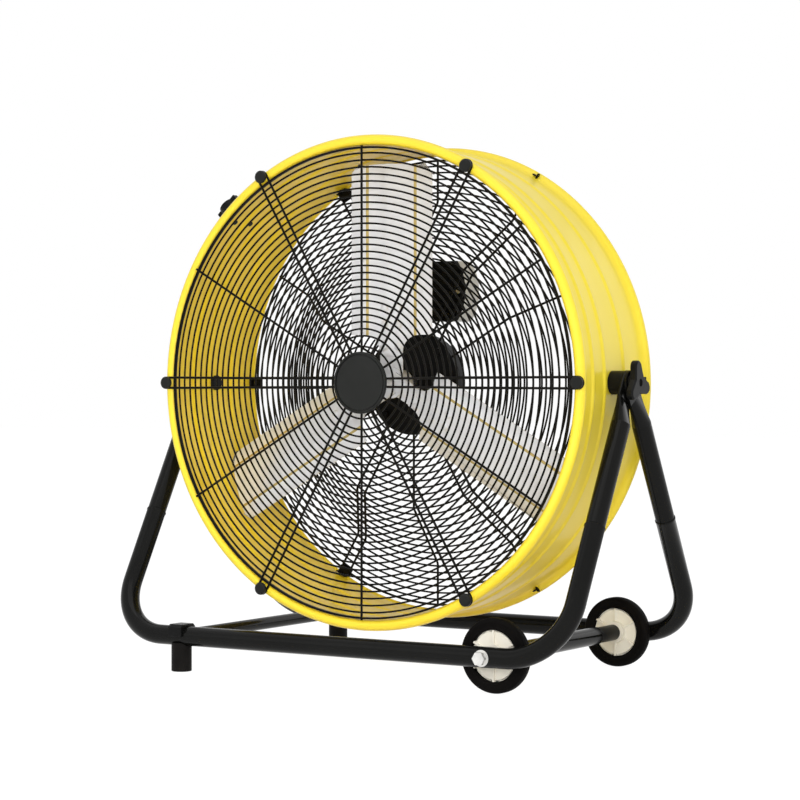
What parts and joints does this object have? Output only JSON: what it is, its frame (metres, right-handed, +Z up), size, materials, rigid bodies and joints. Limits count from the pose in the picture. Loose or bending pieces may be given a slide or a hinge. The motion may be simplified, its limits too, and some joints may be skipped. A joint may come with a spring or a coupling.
{
  "type": "drum fan",
  "caption": "Tilting drum fan: yellow sheet drum, wire guards, paddle blades and a black tubular stand with feet on one side and wheels on the other.",
  "frame": {"origin": "middle of the footprint on the floor, below the tilt axis", "axes": "X across the fan along the tilt axis, wheels at +X; Y along the fan axis, away from the blowing side; Z up"},
  "size_m": [0.6826, 0.404, 0.6815],
  "materials": {
    "stand_black": "gloss",
    "foot_rubber": "satin",
    "black_plastic": "satin",
    "zinc_steel": "satin",
    "wheel_plastic": "satin",
    "tyre_rubber": "matte",
    "yellow_paint": "gloss",
    "wire_black": "gloss",
    "cap_plastic": "gloss",
    "motor_black": "satin",
    "iron_core": "matte",
    "box_grey": "satin",
    "blade_metal": "satin"
  },
  "bodies": {
    "stand": {"front_base_tube": "stand_black", "rear_base_tube": "stand_black", "front_left_leg": "stand_black", "front_right_leg": "stand_black", "rear_left_leg": "stand_black", "rear_right_leg": "stand_black", "left_brace_tube": "stand_black", "front_foot": "foot_rubber", "rear_foot": "foot_rubber", "front_foot_clamp": "black_plastic", "rear_foot_clamp": "black_plastic", "foot_screws": "zinc_steel", "wheel_axle": "zinc_steel", "axle_nut": "zinc_steel", "axle_spacer_tube": "stand_black", "axle_bushes": "black_plastic"},
    "drum": {"drum_shell": "yellow_paint", "front_guard_rings": "wire_black", "front_guard_spokes": "wire_black", "front_guard_plate": "wire_black", "front_guard_cap": "cap_plastic", "front_guard_clips": "cap_plastic", "rear_guard_rings": "wire_black", "rear_guard_spokes": "wire_black", "rear_guard_clips": "wire_black", "motor_plate": "motor_black", "motor_bolts": "zinc_steel", "motor_front_cover": "motor_black", "motor_body": "motor_black", "motor_rear_cover": "motor_black", "front_bearing": "zinc_steel", "rear_bearing": "zinc_steel", "stator": "iron_core", "junction_box": "box_grey", "junction_box_lid": "motor_black", "junction_box_screws": "zinc_steel", "cable_gland": "black_plastic", "switch_housing": "black_plastic", "switch_screws": "motor_black", "left_spacer": "black_plastic", "right_spacer": "black_plastic", "left_pivot_bolt": "motor_black", "right_pivot_bolt": "motor_black"},
    "fan": {"motor_shaft": "zinc_steel", "rotor": "iron_core", "fan_hub": "blade_metal", "blade_top": "blade_metal", "blade_left": "blade_metal", "blade_right": "blade_metal", "blade_rivets": "zinc_steel", "hub_screw": "zinc_steel"},
    "front_wheel": {"front_wheel_hub": "wheel_plastic", "front_wheel_tyre": "tyre_rubber"},
    "rear_wheel": {"rear_wheel_hub": "wheel_plastic", "rear_wheel_tyre": "tyre_rubber"},
    "left_knob": {"left_clamp_knob": "black_plastic"},
    "right_knob": {"right_clamp_knob": "black_plastic"},
    "dial": {"speed_dial": "black_plastic"}
  },
  "joints": [
    {"name": "drum_tilt", "type": "hinge", "parent": "stand", "child": "drum", "pos_m": [0, 0, 0.3685], "axis": [1, 0, 0], "range_deg": [-90, 90]},
    {"name": "fan_spin", "type": "hinge", "parent": "drum", "child": "fan", "pos_m": [0, 0, 0.3685], "axis": [0, 1, 0], "continuous": true},
    {"name": "front_wheel_spin", "type": "hinge", "parent": "stand", "child": "front_wheel", "pos_m": [0.229, -0.159, 0.045], "axis": [0, 1, 0], "continuous": true},
    {"name": "rear_wheel_spin", "type": "hinge", "parent": "stand", "child": "rear_wheel", "pos_m": [0.229, 0.159, 0.045], "axis": [0, 1, 0], "continuous": true},
    {"name": "left_knob_turn", "type": "hinge", "parent": "drum", "child": "left_knob", "pos_m": [-0.335, 0, 0.3685], "axis": [-1, 0, 0], "range_deg": [0, 360]},
    {"name": "right_knob_turn", "type": "hinge", "parent": "drum", "child": "right_knob", "pos_m": [0.335, 0, 0.3685], "axis": [1, 0, 0], "range_deg": [0, 360]},
    {"name": "dial_turn", "type": "hinge", "parent": "drum", "child": "dial", "pos_m": [-0.23537, -0.0565, 0.5998], "axis": [-0.7132, 0, 0.7009], "range_deg": [0, 135]}
  ]
}
